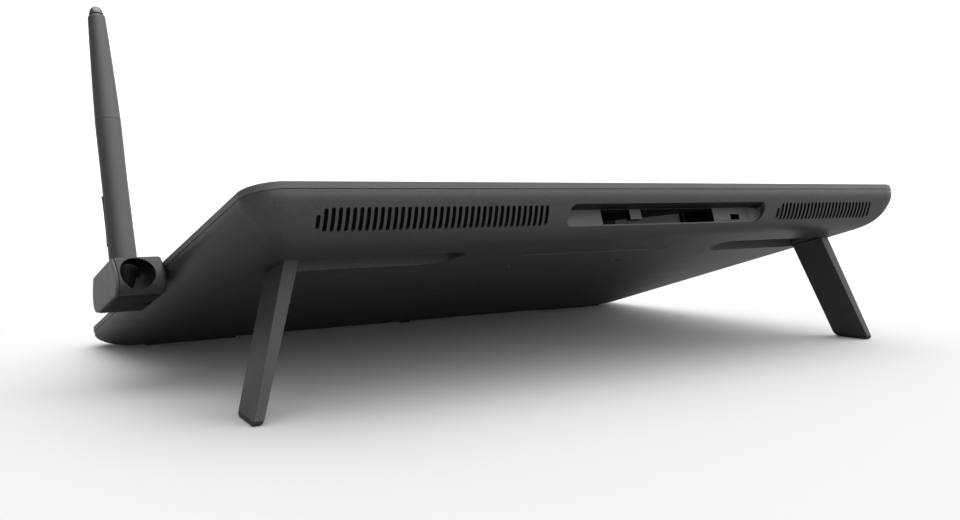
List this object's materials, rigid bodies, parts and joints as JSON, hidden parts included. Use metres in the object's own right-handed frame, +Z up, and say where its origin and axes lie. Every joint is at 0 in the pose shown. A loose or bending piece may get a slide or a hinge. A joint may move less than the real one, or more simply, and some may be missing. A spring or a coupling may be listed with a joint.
{
  "type": "pen drawing tablet",
  "caption": "Thin pen display slab standing tilted on two fold-out rear legs, with a rear port bay, vents and a pen upright in a side holder.",
  "frame": {"origin": "middle of the flat underside of the small centre foot, on the table plane", "axes": "+X to the right of someone using the tablet, +Y away from them, +Z up; the tablet leans back 18.25 degrees"},
  "size_m": [0.4415, 0.2722, 0.187],
  "materials": {
    "rim": "fine matt",
    "sheet": "anti-glare film",
    "shell": "fine grain",
    "button": "matt",
    "lamp": "clear",
    "board": "lacquered",
    "panel": "dark",
    "guide": "clear",
    "thin_metal": "rolled",
    "cable_film": "film",
    "brass": "turned",
    "label": "smooth",
    "tray": "fine grain",
    "socket": "moulded",
    "port_metal": "plated",
    "pin_steel": "ground",
    "rubber": "matt",
    "holder": "fine matt",
    "leg": "fine grain",
    "pen_grip": "soft coat",
    "pen_body": "satin",
    "nib": "matt",
    "eraser": "satin",
    "coil": "wound wire",
    "rocker": "satin"
  },
  "bodies": {
    "tablet": {"front_frame": "rim", "cover_sheet": "sheet", "rear_cover": "shell", "power_lamp": "lamp", "button_board": "board", "display_panel": "panel", "light_guide": "guide", "backlight_tray": "thin_metal", "sensor_board": "board", "shield_plate": "thin_metal", "main_board": "board", "display_cable": "cable_film", "mount_insert_1": "brass", "mount_insert_2": "brass", "mount_insert_3": "brass", "mount_insert_4": "brass", "label_strip": "label", "port_tray": "tray", "dc_jack": "socket", "combo_port": "port_metal", "lock_plate": "port_metal", "port_board": "board", "hinge_pin_right": "pin_steel", "hinge_pin_left": "pin_steel", "detent_spring_right": "pin_steel", "detent_spring_left": "pin_steel", "front_foot_right": "rubber", "front_foot_left": "rubber", "front_foot_centre": "rubber", "pen_holder": "holder", "holder_cap": "holder", "holder_tongue": "holder", "holder_screw": "pin_steel"},
    "leg_right": {"leg_right": "leg", "leg_foot_right": "rubber"},
    "leg_left": {"leg_left": "leg", "leg_foot_left": "rubber"},
    "pen": {"pen_barrel": "pen_grip", "pen_tail": "pen_body", "pen_tip_cone": "pen_body", "pen_coil": "coil", "pen_pressure_cell": "socket", "pen_circuit": "board"},
    "pen_nib": {"pen_nib": "nib"},
    "pen_eraser": {"pen_eraser": "eraser"},
    "pen_rocker": {"pen_rocker": "rocker"},
    "power_button": {"power_button": "button"}
  },
  "joints": [
    {"name": "leg_hinge_right", "type": "hinge", "parent": "tablet", "child": "leg_right", "pos_m": [0.1786, 0.20844, 0.06497], "axis": [0, 0.9587, 0.2845], "range_deg": [0, 108.3]},
    {"name": "leg_hinge_left", "type": "hinge", "parent": "tablet", "child": "leg_left", "pos_m": [-0.1786, 0.20844, 0.06497], "axis": [0, -0.9587, -0.2845], "range_deg": [0, 108.3]},
    {"name": "pen_lift", "type": "slide", "parent": "tablet", "child": "pen", "axis": [0, -0.3132, 0.9497], "range_m": [0, 0.16]},
    {"name": "nib_press", "type": "slide", "parent": "pen", "child": "pen_nib", "axis": [0, -0.3132, 0.9497], "range_m": [0, 0.001], "stiffness_N_per_m": 200, "springref_m": -0.0005},
    {"name": "eraser_press", "type": "slide", "parent": "pen", "child": "pen_eraser", "axis": [0, 0.3132, -0.9497], "range_m": [0, 0.0008], "stiffness_N_per_m": 200, "springref_m": -0.0005},
    {"name": "rocker_tilt", "type": "hinge", "parent": "pen", "child": "pen_rocker", "pos_m": [0.22949, 0.11525, 0.07908], "axis": [0.4226, 0.8607, 0.2838], "range_deg": [-2, 2], "stiffness_Nm_per_rad": 0.02},
    {"name": "power_press", "type": "slide", "parent": "tablet", "child": "power_button", "axis": [0, 0.3132, -0.9497], "range_m": [0, 0.0004], "stiffness_N_per_m": 600, "springref_m": -0.0005}
  ]
}
